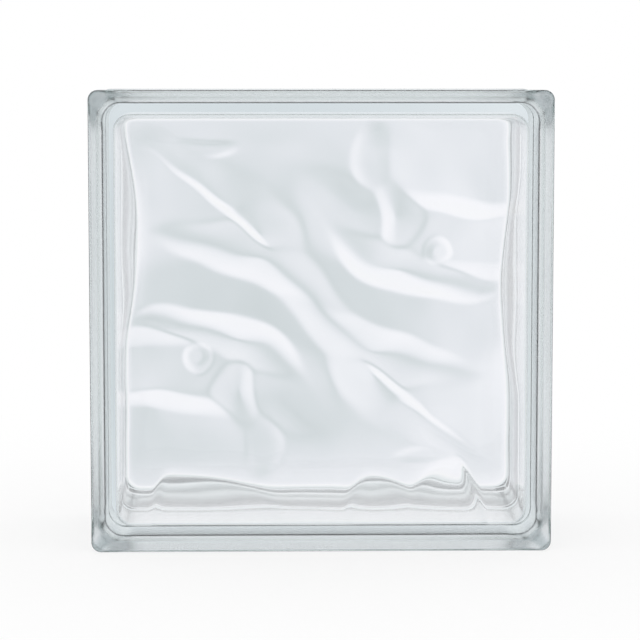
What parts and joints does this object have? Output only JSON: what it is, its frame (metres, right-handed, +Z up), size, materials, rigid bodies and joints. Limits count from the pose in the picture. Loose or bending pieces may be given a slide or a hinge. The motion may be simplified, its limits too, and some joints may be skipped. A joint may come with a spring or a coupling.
{
  "type": "glass block",
  "caption": "Square hollow glass block with flat faces, wavy relief inside both panes and a mortar channel round its sides, for light walls.",
  "frame": {"origin": "bottom centre of the block, midway between its faces, on the plane that its lower rims rest on", "axes": "+X to the right and +Z up as the front face is seen, front face towards -Y"},
  "size_m": [0.19, 0.095, 0.19],
  "materials": {
    "glass": "clear, fire-polished"
  },
  "bodies": {
    "root": {"glass_block": "glass"}
  },
  "joints": []
}
